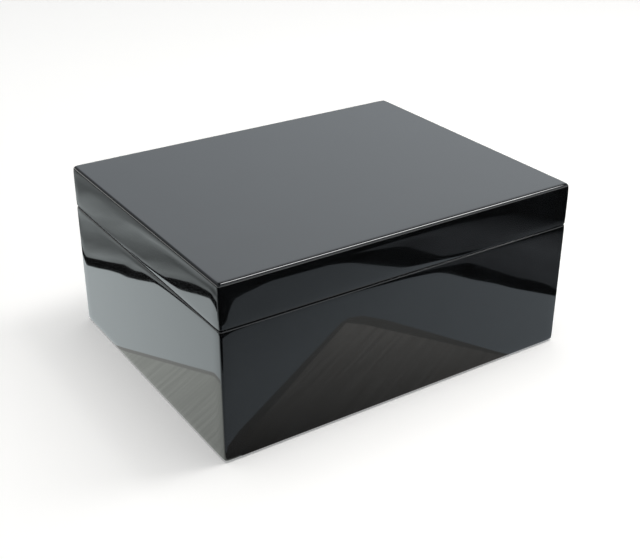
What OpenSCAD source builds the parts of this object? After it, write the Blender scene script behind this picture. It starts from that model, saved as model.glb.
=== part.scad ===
// Desktop cigar humidor: a black lacquered box with a hinged lid, lined with cedar.
// The origin is the centre of the underside. X runs left to right, Y front to back, Z up.
// The box is drawn closed.

/* [Outer box] */
// Width of the box, left to right
box_w = 260; // [240:1:320]
// Depth of the box, front to back
box_d = 205; // [180:1:260]
// Height of the closed box above the table
box_h = 118; // [112:1:150]
// Height of the lid, from its rim to its top
lid_h = 29; // [28:0.5:36]
// Thickness of the mitred side panels
side_t = 12; // [11:0.5:15]
// Thickness of the lid's top panel
top_t = 10; // [8:0.5:10]
// Thickness of the bottom panel
bottom_t = 9; // [6:0.5:11]
// Width of the rebate that the bottom panel sits in
rebate_w = 5; // [3:0.5:7]
// Rounding of the outer edges
edge_r = 2.5; // [1:0.1:3.5]
// Rounding of the two rims where the lid meets the base
rim_r = 0.8; // [0.3:0.1:1.2]
// Gap between the two rims of the closed box
seam_gap = 0.3; // [0.2:0.05:0.5]
// Thickness of the felt under the base
felt_t = 1; // [0.8:0.1:2]
// Distance from the edge of the felt to the side of the box
felt_inset = 4; // [3.6:0.2:10]

/* [Cedar lining] */
// Thickness of the lining boards
liner_t = 5; // [4:0.5:7]
// Thickness of the lining board under the lid's top
ceiling_t = 4; // [3:0.5:5]
// Height of the sealing lip above the base's rim
lip_h = 6; // [4:0.5:7]
// Gap between the lip and the lid that closes over it
lip_clear = 0.4; // [0.3:0.05:0.6]
// Bevel along the top of the lip
lip_bevel = 0.8; // [0.4:0.1:1.5]

/* [Quadrant hinges] */
// Opening angle of the lid
open_angle = 95; // [90:1:98]
// Thickness of a hinge leaf
leaf_t = 2; // [1.5:0.1:2.2]
// Width of the leg of a leaf that lies along the side
side_leg_w = 8; // [7:0.2:9]
// Length of the leg of a leaf that lies along the side
side_leg = 42; // [40:1:55]
// Width of the leg of a leaf that lies along the back
back_leg_w = 10; // [9:0.2:10.5]
// Length of the leg of a leaf that lies along the back
back_leg = 36; // [34:1:50]
// Diameter of the knuckles
barrel_d = 6; // [5:0.1:6.4]
// Length of the three knuckles together
barrel_l = 24; // [18:1:26]
// Length of the middle knuckle, which belongs to the lid
lid_knuckle = 9.6; // [6:0.2:12]
// Diameter of the hinge pin
pin_d = 2.5; // [1.6:0.1:3]
// Middle radius of the quadrant arm about the pin
arm_r = 20; // [19:0.2:20.5]
// Width of the quadrant arm
arm_w = 4; // [3:0.2:4.4]
// Thickness of the quadrant arm
arm_t = 1.8; // [1.2:0.1:2.2]
// Width of the stop head at each end of the arm
arm_head = 4.4; // [3.6:0.1:5]
// Diameter of the wood screws
screw_d = 2.5; // [2:0.1:2.8]
// Length of the wood screws
screw_l = 12; // [8:0.5:14]

/* [Tray and divider] */
// Length of the sliding tray, left to right
tray_w = 150; // [120:1:160]
// Height of the tray
tray_h = 28; // [24:0.5:32]
// Thickness of the tray's walls
tray_wall = 5; // [4:0.5:7]
// Thickness of the tray's floor
tray_floor_t = 4; // [3:0.5:6]
// Gap between the tray and the lining beside it
tray_gap = 0.5; // [0.3:0.1:1]
// Gap between the tray and the fittings in the lid
tray_head_gap = 4.4; // [2:0.2:8]
// Height of the rails that carry the tray
rail_h = 8; // [5:0.5:10]
// Width of the rails that carry the tray
rail_w = 6; // [4:0.5:9]
// Thickness of the sliding divider
divider_t = 5; // [4:0.5:8]
// Place of the divider, from the middle of the box
divider_x = -28; // [-60:1:60]
// Radius of the finger notches
notch_r = 16; // [12:0.5:20]
// Depth of the finger notches
notch_deep = 9; // [6:0.5:11]

/* [Humidifier] */
// Length of the humidifier
hum_w = 112; // [90:1:114]
// Width of the humidifier
hum_d = 56; // [45:1:70]
// Height of the humidifier with its cover
hum_h = 13; // [11.5:0.5:14]
// Wall of the humidifier's case
hum_wall = 1.8; // [1.4:0.1:2.4]
// Thickness of the humidifier's slotted cover
cover_t = 1.8; // [1.2:0.1:2.4]
// Width of the slots in the cover
slot_w = 3; // [2:0.2:3.4]

/* [Hygrometer] */
// Outer diameter of the hygrometer's bezel
hyg_d = 46; // [40:1:50]
// Height of the hygrometer
hyg_h = 12; // [11.5:0.1:13]
// Wall of the bezel
bezel_wall = 1.2; // [0.9:0.1:1.6]
// Thickness of the glass
lens_t = 1.2; // [0.8:0.1:1.6]
// Angle that the dial's scale runs through
scale_angle = 240; // [200:5:270]
// Humidity that the needle shows, in percent
reading = 70; // [0:1:100]

/* [Hidden] */

$fn = 72;
LEFT = -1;
RIGHT = 1;
over = 1;
weld = 0.1;

lacquer = [0.03, 0.03, 0.035];
cedar = [0.66, 0.42, 0.26];
brass = [0.80, 0.62, 0.28];
steel = [0.72, 0.73, 0.75];
moulding = [0.07, 0.07, 0.08];

// Heights of the box
wood_z = felt_t;
felt_r = 3;
lid_z = box_h - lid_h;
rim_z = lid_z - seam_gap;
top_z = box_h - top_t;
ceiling_z = top_z - ceiling_t;
bottom_z = wood_z + bottom_t;
floor_z = bottom_z + liner_t;
lip_z = rim_z + lip_h;
lid_liner_z = lip_z + 2 * lip_clear;

// Plan of the box: inside the panels, and inside the lining
panel_in_w = box_w - 2 * side_t;
panel_in_d = box_d - 2 * side_t;
inner_w = panel_in_w - 2 * liner_t;
inner_d = panel_in_d - 2 * liner_t;

// Hinges, with the pin in the plane of the back
pin_y = box_d / 2;
pin_z = (lid_z + rim_z) / 2;
pin_r = pin_d / 2;
barrel_r = barrel_d / 2;
running = 0.05;
barrel_clear = 0.35;
barrel_end_gap = 0.5;
leaf_fit = 0.15;
leaf_y = pin_y - barrel_r - barrel_clear;
leg_x = -box_w / 2 + side_t / 2;
leaf_x = leg_x - side_leg_w / 2;
barrel_inset = 2;
barrel_x = leaf_x + side_leg_w - barrel_inset;
knuckle_gap = 0.2;
base_knuckle = (barrel_l - lid_knuckle) / 2 - knuckle_gap;
screw_r = screw_d / 2;
screw_head_r = 0.92 * screw_d;
screw_head_h = screw_head_r - screw_r;
screw_clear = 0.05;
screw_end = 4.5;
screw_pitch = 8.5;
back_row_y = (leaf_y + pin_y - back_leg_w) / 2;
screw_places = [
    [leg_x, pin_y - side_leg + screw_end + screw_pitch],
    [leg_x, pin_y - side_leg + screw_end],
    [leaf_x + side_leg_w + screw_end, back_row_y],
    [leaf_x + back_leg - screw_end, back_row_y]
];

// Quadrant arms: angles are measured up from the rim, about the pin
arm_ratio = 0.6;
arm_turn = arm_ratio * open_angle;
stop_clear = 1.2;
stop_angle = asin((leaf_t + seam_gap / 2) / (arm_r - arm_w / 2)) + stop_clear;
head_angle = 6;
arm_up = open_angle + stop_angle - arm_turn;
arm_down = arm_turn + stop_angle;
slot_clear = 0.3;
pocket_clear = 0.5;

// Fittings that hang under the lid's ceiling board
disc_t = 0.6;
disc_rim = 2;
magnet_h = 2;
magnet_clear = 0.05;
fitting_z = ceiling_z - disc_t;
fitting_gap = 14;
fittings_w = hyg_d + fitting_gap + hum_w;
hyg_x = -fittings_w / 2 + hyg_d / 2;
hum_x = fittings_w / 2 - hum_w / 2;

// Humidifier
hum_corner_r = 5;
hum_z = fitting_z - hum_h;
hum_magnet_r = 6;
hum_magnet_x = 0.3 * hum_w;
cover_rim_t = 1.2;
cover_rim_h = 2;
cover_fit = 0.15;
cover_margin = 4;
cover_bridge = 4;
foam_gap = 0.3;
boss_wall = 1.6;
boss_floor = 1;
magnet_boss_h = magnet_h + boss_floor;

// Hygrometer, from the bezel's lip up to the case's back
hyg_z = fitting_z - hyg_h;
bezel_lip = 0.9;
bezel_bevel = 0.6;
bezel_grip = 4;
lens_hold = 2;
lens_z = hyg_z + bezel_lip;
case_z = lens_z + lens_t;
case_r = hyg_d / 2 - bezel_wall - running;
case_wall = 1.5;
dial_gap = 1.8;
dial_z = case_z + dial_gap;
dial_t = 0.5;
dial_r = case_r - case_wall - running;
dial_ledge = 1;
needle_gap = 0.7;
needle_z = case_z + needle_gap;
needle_t = 0.4;
needle_l = dial_r - 3;
arbor_r = 0.6;
arbor_gap = 0.4;
arbor_end = 0.2;
arbor_play = 0.3;
hub_r = 1.6;
hub_rise = 0.2;
back_t = 1.2;
case_back = magnet_h + back_t;
boss_h = 2;
boss_r = 2.2;
coil_gap = 0.6;
coil_z = dial_z + dial_t + coil_gap;
coil_h = 1.6;
coil_turns = 5;
coil_in = 1.3;
coil_pitch = 1.5;
coil_t = 0.3;
coil_steps = 24;
coil_out = coil_in + coil_pitch * coil_turns + coil_t / 2;
post_w = 1.5;
hyg_magnet_r = 10;

// Tray and divider
fittings_bottom = min(hum_z, hyg_z);
tray_z = fittings_bottom - tray_head_gap - tray_h;
tray_d = inner_d - 2 * tray_gap;
tray_x = inner_w / 2 - tray_gap - tray_w / 2;
tray_rebate = tray_wall / 2;
vent_w = 3;
vent_l = tray_d / 2 - 3 * tray_wall;
vent_pitch = 12;
divider_clear = 1;
divider_h = tray_z - rail_h - divider_clear - floor_z;
divider_d = inner_d - 2 * tray_gap;

// General shapes

// A rectangle about the origin with round corners
module rounded_rect(w, d, r) {
    square([w - 2 * r, d], center = true);
    square([w, d - 2 * r], center = true);
    for (x = [-1, 1], y = [-1, 1])
        translate([x * (w / 2 - r), y * (d / 2 - r)]) circle(r);
}

// What is cut away to round an edge that lies at the origin, between the two axes
module edge_waste(r) {
    difference() {
        translate([-over, -over]) square(r + over);
        translate([r, r]) circle(r);
    }
}

// An upright outline of width w from z0 to z1, its upper corners rounded by r
module domed_outline(w, z0, z1, r) {
    difference() {
        translate([-w / 2, z0]) square([w, z1 - z0]);
        for (side = [0, 1]) mirror([side, 0]) translate([-w / 2, z1]) mirror([0, 1]) edge_waste(r);
    }
}

// A plain block about the Z axis
module slab(w, d, z0, z1) {
    translate([-w / 2, -d / 2, z0]) cube([w, d, z1 - z0]);
}

// The part of a plan that the front board of a box takes, cut to mitres at both ends
module front_mitre(w, d, t) {
    polygon([
        [-w / 2 - over, -d / 2 - over], [w / 2 + over, -d / 2 - over],
        [w / 2 - t, -d / 2 + t], [-w / 2 + t, -d / 2 + t]
    ]);
}

// Draws on the left as it is, and on the right as its mirror image
module on_side(side) {
    mirror([side == RIGHT ? 1 : 0, 0, 0]) children();
}

// Quadrant hinges, drawn for the left

// A cylinder along the hinge's axis, from x on
module along_pin(x, l, r) {
    translate([x, pin_y, pin_z]) rotate([0, 90, 0]) cylinder(h = l, r = r);
}

// The L-shaped outline of a leaf
module leaf_outline(fit = 0) {
    translate([leaf_x - fit, pin_y - side_leg - fit])
        square([side_leg_w + 2 * fit, leaf_y - pin_y + side_leg + 2 * fit]);
    translate([leaf_x - fit, pin_y - back_leg_w - fit])
        square([back_leg + 2 * fit, leaf_y - pin_y + back_leg_w + 2 * fit]);
}

// A screw hole with its countersink, down from the top of a leaf at z
module screw_hole(z) {
    r = screw_r + screw_clear;
    translate([0, 0, z - leaf_t - over]) cylinder(h = leaf_t + 2 * over, r = r);
    translate([0, 0, z - screw_head_h]) cylinder(h = screw_head_h, r1 = r, r2 = r + screw_head_h);
}

// A countersunk wood screw whose head is flush with z
module wood_screw(z) {
    drive_w = 0.2 * screw_d;
    drive_h = 0.55 * screw_head_h;
    tip_h = screw_d;
    difference() {
        translate([0, 0, z]) rotate([180, 0, 0]) rotate_extrude() polygon([
            [0, 0], [screw_head_r, 0], [screw_r, screw_head_h],
            [screw_r, screw_l - tip_h], [0, screw_l]
        ]);
        for (a = [0, 90]) rotate([0, 0, a])
            slab(1.2 * screw_head_r, drive_w, z - drive_h, z + over);
    }
}

// A flat leaf with its top at z, before its knuckles
module leaf_plate(z) {
    difference() {
        translate([0, 0, z - leaf_t]) linear_extrude(leaf_t) leaf_outline();
        translate([0, 0, z - leaf_t - over]) linear_extrude(leaf_t + 2 * over) arm_slot();
        for (p = screw_places) translate(p) screw_hole(z);
    }
}

// The slot in a leaf that the quadrant arm slides through
module arm_slot() {
    reach = arm_w / 2 + slot_clear;
    inner = sqrt(pow(arm_r - arm_w / 2, 2) - pow(leaf_t + seam_gap, 2)) - slot_clear;
    w = arm_t + 2 * slot_clear;
    translate([leg_x - w / 2, pin_y - arm_r - reach]) square([w, arm_r + reach - inner]);
}

// A knuckle from x on, joined to a leaf whose faces are at z0 and z1
module knuckle(x, l, z0, z1) {
    along_pin(x, l, barrel_r);
    translate([x, leaf_y - weld, z0]) cube([l, pin_y - leaf_y + weld, z1 - z0]);
}

module base_leaf() {
    difference() {
        union() {
            leaf_plate(rim_z);
            for (x = [barrel_x, barrel_x + barrel_l - base_knuckle])
                knuckle(x, base_knuckle, rim_z - leaf_t, rim_z);
        }
        along_pin(barrel_x - over, barrel_l + 2 * over, pin_r);
    }
}

module lid_leaf() {
    x = barrel_x + base_knuckle + knuckle_gap;
    difference() {
        union() {
            flip_about(lid_z) leaf_plate(lid_z);
            knuckle(x, lid_knuckle, lid_z, lid_z + leaf_t);
        }
        along_pin(x - over, lid_knuckle + 2 * over, pin_r + running);
    }
}

// Turns upside down about a level z
module flip_about(z) {
    translate([0, 0, 2 * z]) mirror([0, 0, 1]) children();
}

// A sector of a ring about the pin, from x0 to x1 beside the leaf's middle, between two angles
module pin_sector(w, x0, x1, a0, a1) {
    translate([leg_x, pin_y, pin_z]) rotate([90, 0, 90]) rotate([0, 0, 180 - a1])
        rotate_extrude(angle = a1 - a0) translate([arm_r - w / 2, x0]) square([w, x1 - x0]);
}

// A curved bar of the heads' thickness, thinned between its heads
module quadrant_arm(side) {
    half = arm_head / 2;
    waist = arm_t / 2;
    wide = arm_w + 2 * over;
    color(brass) on_side(side) difference() {
        pin_sector(arm_w, -half, half, -arm_down - head_angle, arm_up + head_angle);
        pin_sector(wide, waist, half + over, -arm_down, arm_up);
        pin_sector(wide, -half - over, -waist, -arm_down, arm_up);
    }
}

// Pocket in the wood for the quadrant arm, from height z0 to z1 and back to an end angle
module arm_pocket(z0, z1, end_angle) {
    w = arm_head + 2 * pocket_clear;
    far = arm_r + arm_w / 2 + pocket_clear;
    near = (arm_r - arm_w / 2) * cos(end_angle) - pocket_clear;
    translate([leg_x - w / 2, pin_y - far, z0]) cube([w, far - near, z1 - z0]);
}

// What is cut from the base's panels for a hinge
module base_hinge_cut() {
    reach = (arm_r + arm_w / 2) * sin(min(90, arm_down + head_angle)) + pocket_clear;
    translate([0, 0, rim_z - leaf_t]) linear_extrude(leaf_t + over) leaf_outline(leaf_fit);
    arm_pocket(pin_z - reach, rim_z, arm_down + head_angle);
    barrel_groove(rim_z - leaf_t, rim_z);
    screw_pilots(rim_z);
}

// What is cut from the lid's panels for a hinge
module lid_hinge_cut() {
    reach = (arm_r + arm_w / 2) * sin(arm_up + head_angle) + pocket_clear;
    translate([0, 0, lid_z - over]) linear_extrude(leaf_t + over) leaf_outline(leaf_fit);
    arm_pocket(lid_z, pin_z + reach, arm_up + head_angle);
    barrel_groove(lid_z, lid_z + leaf_t);
    flip_about(lid_z) screw_pilots(lid_z);
}

// Groove for the knuckles, and for the webs that join them to a leaf from z0 to z1
module barrel_groove(z0, z1) {
    x = barrel_x - barrel_end_gap;
    l = barrel_l + 2 * barrel_end_gap;
    along_pin(x, l, barrel_r + barrel_clear);
    translate([x, leaf_y - over, z0]) cube([l, over + barrel_d, z1 - z0]);
}

// Pilot holes for the screws, in a rim at z that faces up
module screw_pilots(z) {
    for (p = screw_places) translate([p.x, p.y, z - screw_l - over])
        cylinder(h = screw_l + over, r = screw_r + screw_clear);
}

module base_hinge_leaf(side) {
    color(brass) on_side(side) base_leaf();
}

module lid_hinge_leaf(side) {
    color(brass) on_side(side) lid_leaf();
}

module hinge_pin(side) {
    color(steel) on_side(side) along_pin(barrel_x, barrel_l, pin_r);
}

module base_hinge_screws() {
    color(brass) for (side = [LEFT, RIGHT], p = screw_places)
        on_side(side) translate(p) wood_screw(rim_z);
}

module lid_hinge_screws() {
    color(brass) flip_about(lid_z) for (side = [LEFT, RIGHT], p = screw_places)
        on_side(side) translate(p) wood_screw(lid_z);
}

// Lacquered panels

// Section of a side panel: its thickness runs inwards along X, its height along Y
module panel_section(z0, z1, r0, r1) {
    difference() {
        translate([0, z0]) square([side_t, z1 - z0]);
        if (r0 > 0) translate([0, z0]) edge_waste(r0);
        if (r1 > 0) translate([0, z1]) mirror([0, 1]) edge_waste(r1);
    }
}

// The front panel of a box of plan w by d, with the section that is given
module mitred_panel(w, d) {
    intersection() {
        translate([-w / 2, -d / 2, 0]) rotate([90, 0, 90]) linear_extrude(w) children();
        linear_extrude(box_h) intersection() {
            rounded_rect(w, d, edge_r);
            front_mitre(w, d, side_t);
        }
    }
}

// Section of the base's side panels, with the rebate for the bottom panel
module base_section() {
    difference() {
        panel_section(wood_z, rim_z, edge_r, rim_r);
        translate([side_t - rebate_w, wood_z - over]) square([rebate_w + over, bottom_t + over]);
    }
}

module base_front_panel() {
    color(lacquer) mitred_panel(box_w, box_d) base_section();
}

module base_back_panel() {
    color(lacquer) difference() {
        rotate(180) mitred_panel(box_w, box_d) base_section();
        for (side = [LEFT, RIGHT]) on_side(side) base_hinge_cut();
    }
}

module base_side_panel(side) {
    color(lacquer) on_side(side) difference() {
        rotate(-90) mitred_panel(box_d, box_w) base_section();
        base_hinge_cut();
    }
}

module base_bottom_panel() {
    color(lacquer) slab(panel_in_w + 2 * rebate_w, panel_in_d + 2 * rebate_w, wood_z, bottom_z);
}

module felt_base_pad() {
    color([0.05, 0.05, 0.05]) linear_extrude(felt_t)
        rounded_rect(box_w - 2 * felt_inset, box_d - 2 * felt_inset, felt_r);
}

module lid_top_panel() {
    color(lacquer) intersection() {
        translate([0, 0, top_z]) linear_extrude(top_t) rounded_rect(box_w, box_d, edge_r);
        translate([0, box_d / 2, 0]) rotate([90, 0, 0]) linear_extrude(box_d)
            domed_outline(box_w, top_z, box_h, edge_r);
        translate([-box_w / 2, 0, 0]) rotate([90, 0, 90]) linear_extrude(box_w)
            domed_outline(box_d, top_z, box_h, edge_r);
    }
}

module lid_section() {
    panel_section(lid_z, top_z, rim_r, 0);
}

module lid_front_panel() {
    color(lacquer) mitred_panel(box_w, box_d) lid_section();
}

module lid_back_panel() {
    color(lacquer) difference() {
        rotate(180) mitred_panel(box_w, box_d) lid_section();
        for (side = [LEFT, RIGHT]) on_side(side) lid_hinge_cut();
    }
}

module lid_side_panel(side) {
    color(lacquer) on_side(side) difference() {
        rotate(-90) mitred_panel(box_d, box_w) lid_section();
        lid_hinge_cut();
    }
}

// Cedar lining

// Half of the outline of the lining in the base: full below the rim, set in above it
function lining_half(half) = [
    [half, floor_z], [half, rim_z], [half - lip_clear, rim_z],
    [half - lip_clear, lip_z - lip_bevel], [half - lip_clear - lip_bevel, lip_z]
];

// The same outline from side to side
function lining_outline(half) = concat(
    lining_half(half),
    [for (i = [4:-1:0]) [-lining_half(half)[i].x, lining_half(half)[i].y]]
);

// The outer form of the base's side lining with its lip
module lining_block() {
    intersection() {
        translate([0, panel_in_d / 2 + over, 0]) rotate([90, 0, 0])
            linear_extrude(panel_in_d + 2 * over) polygon(lining_outline(panel_in_w / 2));
        translate([-panel_in_w / 2 - over, 0, 0]) rotate([90, 0, 90])
            linear_extrude(panel_in_w + 2 * over) polygon(lining_outline(panel_in_d / 2));
    }
}

module base_floor_liner() {
    color(cedar) slab(panel_in_w, panel_in_d, bottom_z, floor_z);
}

// The front lining board, or with side = 1 the back one
module base_long_liner(side) {
    color(cedar) intersection() {
        lining_block();
        translate([0, side * (panel_in_d - liner_t) / 2, 0])
            slab(panel_in_w + over, liner_t, 0, box_h);
    }
}

module base_short_liner(side) {
    color(cedar) intersection() {
        lining_block();
        translate([side * (panel_in_w - liner_t) / 2, 0, 0]) slab(liner_t, inner_d, 0, box_h);
    }
}

module lid_ceiling_liner() {
    color(cedar) slab(panel_in_w, panel_in_d, ceiling_z, top_z);
}

module lid_long_liner(side) {
    color(cedar) translate([0, side * (panel_in_d - liner_t) / 2, 0])
        slab(panel_in_w, liner_t, lid_liner_z, ceiling_z);
}

module lid_short_liner(side) {
    color(cedar) translate([side * (panel_in_w - liner_t) / 2, 0, 0])
        slab(liner_t, inner_d, lid_liner_z, ceiling_z);
}

module tray_rail(side) {
    color(cedar) translate([0, side * (inner_d - rail_w) / 2, 0])
        slab(inner_w, rail_w, tray_z - rail_h, tray_z);
}

// Tray and divider

// A round finger notch in the top edge, at height z, of a board that runs along Y
module finger_notch(z) {
    translate([-box_w, 0, z + notch_r - notch_deep]) rotate([0, 90, 0])
        cylinder(h = 2 * box_w, r = notch_r);
}

// The ring of the tray's walls, with the floor's rebate cut out
module tray_block() {
    difference() {
        slab(tray_w, tray_d, tray_z, tray_z + tray_h);
        slab(tray_w - 2 * tray_rebate, tray_d - 2 * tray_rebate, tray_z - over,
            tray_z + tray_floor_t);
    }
}

module tray_long_wall(side) {
    color(cedar) translate([tray_x, 0, 0]) mirror([0, side == RIGHT ? 1 : 0, 0]) intersection() {
        tray_block();
        linear_extrude(box_h) front_mitre(tray_w, tray_d, tray_wall);
    }
}

module tray_short_wall(side) {
    color(cedar) translate([tray_x, 0, 0]) on_side(side) difference() {
        intersection() {
            tray_block();
            linear_extrude(box_h) rotate(-90) front_mitre(tray_d, tray_w, tray_wall);
        }
        finger_notch(tray_z + tray_h);
    }
}

module tray_floor() {
    count = floor((tray_w - 4 * tray_wall) / vent_pitch);
    color(cedar) translate([tray_x, 0, 0]) difference() {
        slab(tray_w - 2 * tray_rebate, tray_d - 2 * tray_rebate, tray_z, tray_z + tray_floor_t);
        for (i = [0:count - 1], side = [-1, 1])
            translate([(i - (count - 1) / 2) * vent_pitch, side * tray_d / 4, 0])
                slab(vent_w, vent_l, tray_z - over, tray_z + tray_floor_t + over);
    }
}

module divider() {
    color(cedar) translate([divider_x, 0, 0]) difference() {
        slab(divider_t, divider_d, floor_z, floor_z + divider_h);
        finger_notch(floor_z + divider_h);
    }
}

// Humidifier

module steel_mount_discs() {
    color(steel) {
        for (side = [-1, 1]) translate([hum_x + side * hum_magnet_x, 0, fitting_z])
            cylinder(h = disc_t, r = hum_magnet_r + disc_rim);
        translate([hyg_x, 0, fitting_z]) cylinder(h = disc_t, r = hyg_magnet_r + disc_rim);
    }
}

// Inside of the humidifier's case, or what fits in it with a gap all round
module hum_inside(gap) {
    shrink = 2 * (hum_wall + gap);
    rounded_rect(hum_w - shrink, hum_d - shrink, hum_corner_r - hum_wall);
}

module humidifier_case() {
    cavity_top = fitting_z - hum_wall;
    color(moulding) translate([hum_x, 0, 0]) difference() {
        translate([0, 0, hum_z + cover_t]) linear_extrude(hum_h - cover_t)
            rounded_rect(hum_w, hum_d, hum_corner_r);
        difference() {
            translate([0, 0, hum_z]) linear_extrude(cavity_top - hum_z) hum_inside(0);
            for (side = [-1, 1]) translate([side * hum_magnet_x, 0, fitting_z - magnet_boss_h])
                cylinder(h = magnet_boss_h, r = hum_magnet_r + boss_wall);
        }
        for (side = [-1, 1]) translate([side * hum_magnet_x, 0, fitting_z - magnet_h])
            cylinder(h = magnet_h + over, r = hum_magnet_r + magnet_clear);
    }
}

module humidifier_cover() {
    rows = 2;
    margin = hum_wall + cover_rim_t + cover_margin;
    pitch = 2 * slot_w;
    count = floor((hum_w - 2 * margin) / pitch);
    slot_l = (hum_d - 2 * margin - cover_bridge) / rows;
    color(moulding) translate([hum_x, 0, 0]) difference() {
        union() {
            translate([0, 0, hum_z]) linear_extrude(cover_t) rounded_rect(hum_w, hum_d, hum_corner_r);
            translate([0, 0, hum_z]) linear_extrude(cover_t + cover_rim_h) hum_inside(cover_fit);
        }
        translate([0, 0, hum_z + cover_t]) linear_extrude(cover_rim_h + over)
            hum_inside(cover_fit + cover_rim_t);
        for (i = [0:count - 1], side = [-1, 1])
            translate([(i - (count - 1) / 2) * pitch, side * (slot_l + cover_bridge) / 2, 0])
                slab(slot_w, slot_l, hum_z - over, hum_z + cover_t + over);
    }
}

module humidifier_foam() {
    color([0.25, 0.42, 0.22]) translate([hum_x, 0, hum_z + cover_t])
        linear_extrude(hum_h - cover_t - magnet_boss_h - foam_gap)
            hum_inside(cover_fit + cover_rim_t + foam_gap);
}

module humidifier_magnets() {
    color([0.2, 0.2, 0.2]) for (side = [-1, 1])
        translate([hum_x + side * hum_magnet_x, 0, fitting_z - magnet_h])
            cylinder(h = magnet_h, r = hum_magnet_r);
}

// Hygrometer

module hygrometer_case() {
    back_z = fitting_z - case_back;
    color(moulding) translate([hyg_x, 0, 0]) difference() {
        union() {
            difference() {
                translate([0, 0, case_z]) cylinder(h = fitting_z - case_z, r = case_r);
                translate([0, 0, case_z - over])
                    cylinder(h = dial_z + dial_t - case_z + over, r = case_r - case_wall);
                translate([0, 0, dial_z])
                    cylinder(h = back_z - dial_z, r = case_r - case_wall - dial_ledge);
            }
            translate([0, 0, back_z - boss_h]) cylinder(h = boss_h + weld, r = boss_r);
            translate([coil_out + post_w / 2, 0, 0]) slab(post_w, post_w, coil_z, back_z + weld);
        }
        translate([0, 0, back_z - boss_h - over])
            cylinder(h = over + boss_h + arbor_end + arbor_play, r = arbor_r + running);
        translate([0, 0, fitting_z - magnet_h])
            cylinder(h = magnet_h + over, r = hyg_magnet_r + magnet_clear);
    }
}

module hygrometer_magnet() {
    color([0.2, 0.2, 0.2]) translate([hyg_x, 0, fitting_z - magnet_h])
        cylinder(h = magnet_h, r = hyg_magnet_r);
}

// A point of the coil's middle line, offset sideways, at step i
function coil_point(i, offset) =
    let (a = 360 * i / coil_steps, r = coil_in + coil_pitch * i / coil_steps + offset)
        [r * cos(a), r * sin(a)];

// The flat spiral strip that turns the needle as it swells and shrinks
module hygrometer_coil() {
    steps = coil_turns * coil_steps;
    color(brass) translate([hyg_x, 0, coil_z]) linear_extrude(coil_h) polygon(concat(
        [for (i = [0:steps]) coil_point(i, coil_t / 2)],
        [for (i = [steps:-1:0]) coil_point(i, -coil_t / 2)]
    ));
}

module hygrometer_dial() {
    color([0.95, 0.94, 0.90]) translate([hyg_x, 0, dial_z]) difference() {
        cylinder(h = dial_t, r = dial_r);
        translate([0, 0, -over]) cylinder(h = dial_t + 2 * over, r = arbor_r + arbor_gap);
    }
}

// The needle on its arbor; the scale's middle points to the front of the box
module hygrometer_needle() {
    angle = (reading / 100 - 0.5) * scale_angle;
    tip_w = 0.5;
    root_w = 1.6;
    tail_l = 0.3 * needle_l;
    color([0.05, 0.05, 0.05]) translate([hyg_x, 0, 0]) rotate([0, 0, angle]) {
        translate([0, 0, needle_z]) linear_extrude(needle_t) polygon([
            [-root_w / 2, tail_l], [-tip_w / 2, -needle_l], [tip_w / 2, -needle_l], [root_w / 2, tail_l]
        ]);
        translate([0, 0, needle_z - hub_rise]) cylinder(h = needle_t + 2 * hub_rise, r = hub_r);
        translate([0, 0, needle_z])
            cylinder(h = fitting_z - case_back + arbor_end - needle_z, r = arbor_r);
    }
}

module hygrometer_lens() {
    color([0.8, 0.9, 0.95, 0.3]) translate([hyg_x, 0, lens_z]) cylinder(h = lens_t, r = case_r);
}

module hygrometer_bezel() {
    lip_r = case_r - lens_hold;
    skirt_h = bezel_lip + lens_t + bezel_grip;
    color(brass) translate([hyg_x, 0, hyg_z]) rotate_extrude() polygon([
        [lip_r, bezel_lip], [lip_r + bezel_bevel, 0], [hyg_d / 2 - bezel_bevel, 0],
        [hyg_d / 2, bezel_bevel], [hyg_d / 2, skirt_h], [case_r + running, skirt_h],
        [case_r + running, bezel_lip]
    ]);
}

base_front_panel();
base_back_panel();
base_side_panel(LEFT);  // base_left_panel
base_side_panel(RIGHT);  // base_right_panel
base_bottom_panel();
felt_base_pad();
base_floor_liner();
base_long_liner(-1);  // base_front_liner
base_long_liner(1);  // base_back_liner
base_short_liner(LEFT);  // base_left_liner
base_short_liner(RIGHT);  // base_right_liner
tray_rail(-1);  // tray_rail_front
tray_rail(1);  // tray_rail_back
base_hinge_leaf(LEFT);  // base_hinge_leaf_left
base_hinge_leaf(RIGHT);  // base_hinge_leaf_right
hinge_pin(LEFT);  // hinge_pin_left
hinge_pin(RIGHT);  // hinge_pin_right
base_hinge_screws();
lid_top_panel();
lid_front_panel();
lid_back_panel();
lid_side_panel(LEFT);  // lid_left_panel
lid_side_panel(RIGHT);  // lid_right_panel
lid_ceiling_liner();
lid_long_liner(-1);  // lid_front_liner
lid_long_liner(1);  // lid_back_liner
lid_short_liner(LEFT);  // lid_left_liner
lid_short_liner(RIGHT);  // lid_right_liner
lid_hinge_leaf(LEFT);  // lid_hinge_leaf_left
lid_hinge_leaf(RIGHT);  // lid_hinge_leaf_right
lid_hinge_screws();
quadrant_arm(LEFT);  // quadrant_arm_left
quadrant_arm(RIGHT);  // quadrant_arm_right
steel_mount_discs();
humidifier_case();
humidifier_cover();
humidifier_foam();
humidifier_magnets();
hygrometer_case();
hygrometer_magnet();
hygrometer_coil();
hygrometer_dial();
hygrometer_needle();
hygrometer_lens();
hygrometer_bezel();
tray_floor();
tray_long_wall(LEFT);  // tray_front_wall
tray_long_wall(RIGHT);  // tray_back_wall
tray_short_wall(LEFT);  // tray_left_wall
tray_short_wall(RIGHT);  // tray_right_wall
divider();
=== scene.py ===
"""Looks of a desktop cigar humidor: a black lacquered box with a hinged lid, lined with cedar.

The CAD frame gives every place and size. Lengths are in metres, and MM turns millimetres into them.
X runs left to right, Y front to back and Z up, and the box is dressed closed.
"""
import logging
import math
from bisect import bisect
from collections.abc import Callable
from dataclasses import dataclass, field
from enum import Enum
from functools import cached_property

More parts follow.
